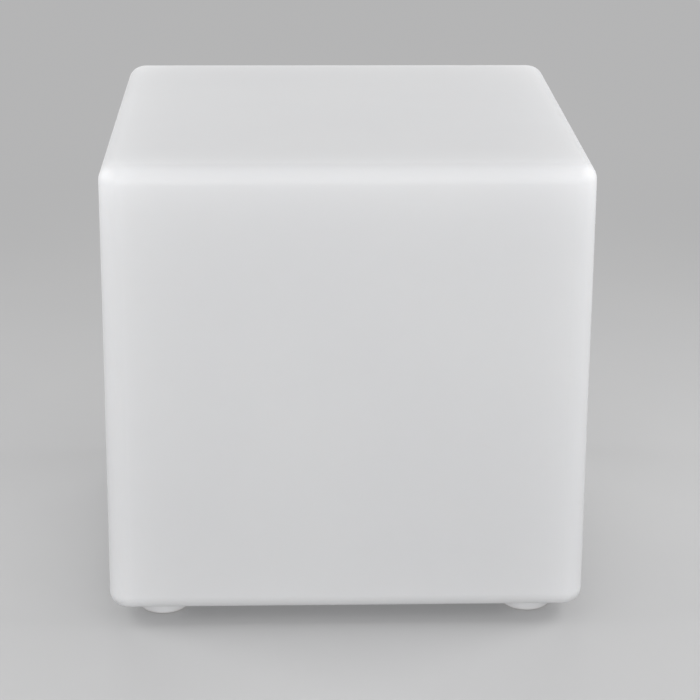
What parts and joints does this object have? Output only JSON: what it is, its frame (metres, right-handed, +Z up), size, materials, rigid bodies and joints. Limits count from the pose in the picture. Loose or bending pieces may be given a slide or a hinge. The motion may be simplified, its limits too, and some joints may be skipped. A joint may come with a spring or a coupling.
{
  "type": "led cube light",
  "caption": "Free-standing translucent cube light with rounded edges and moulded feet; sealed rechargeable lamp module, push button and flapped charging port in the underside.",
  "frame": {"origin": "on the ground under the middle of the cube", "axes": "+Z up, -Y towards the front face that the picture shows, +X to its right"},
  "size_m": [0.3998, 0.3998, 0.398],
  "materials": {
    "white_polyethylene": "satin, translucent",
    "grey_moulding": "fine satin",
    "white_moulding": "satin",
    "black_rubber": "matt",
    "grey_silicone": "matt",
    "black_foam": "open",
    "stainless_steel": "bright",
    "brass": "turned",
    "nickel": "rolled strip",
    "green_board": "lacquered",
    "white_board": "white lacquer on aluminium",
    "aluminium": "rolled",
    "chip_black": "moulded",
    "capacitor_can": "drawn can",
    "connector_white": "moulded",
    "plunger_plastic": "moulded",
    "clear_plastic": "clear",
    "cell_wrap": "shrunk film",
    "red_lead": "extruded",
    "black_lead": "extruded",
    "white_lead": "extruded"
  },
  "bodies": {
    "cube": {"base_plate": "grey_moulding", "battery_cells": "cell_wrap", "battery_connector": "connector_white", "battery_lead_black": "black_lead", "battery_lead_red": "red_lead", "battery_pad": "black_foam", "battery_protection_board": "green_board", "battery_socket": "connector_white", "battery_strap": "white_moulding", "board_screws": "stainless_steel", "button_seal": "black_rubber", "cell_tabs": "nickel", "charge_jack": "chip_black", "charge_jack_pin": "stainless_steel", "control_chip": "chip_black", "dome_ring": "white_moulding", "dome_seal": "black_rubber", "driver_board": "green_board", "filter_capacitor": "capacitor_can", "flange_screws": "stainless_steel", "flange_seal": "black_rubber", "flap_tether": "grey_silicone", "heat_plate": "aluminium", "housing_screws": "stainless_steel", "led_board": "white_board", "led_chips": "connector_white", "led_connector": "connector_white", "led_dome": "clear_plastic", "led_driver_chips": "chip_black", "led_leads": "white_lead", "led_socket": "connector_white", "module_housing": "white_moulding", "plate_screws": "stainless_steel", "power_inductor": "chip_black", "remote_receiver": "chip_black", "shell": "white_polyethylene", "status_led": "clear_plastic", "status_light_pipe": "clear_plastic", "strap_screws": "stainless_steel", "switch_body": "chip_black", "threaded_inserts": "brass"},
    "button": {"power_button": "grey_silicone", "switch_plunger": "plunger_plastic"},
    "port_flap": {"charge_port_flap": "grey_silicone"}
  },
  "joints": [
    {"name": "power_button_press", "type": "slide", "parent": "cube", "child": "button", "axis": [0, 0, 1], "range_m": [0, 0.0015], "stiffness_N_per_m": 1500, "springref_m": -0.0005},
    {"name": "charge_port_flap_hinge", "type": "hinge", "parent": "cube", "child": "port_flap", "pos_m": [0.0315, 0, 0.0233], "axis": [0, -1, 0], "range_deg": [0, 100], "stiffness_Nm_per_rad": 0.0006, "springref_deg": -17.19}
  ]
}
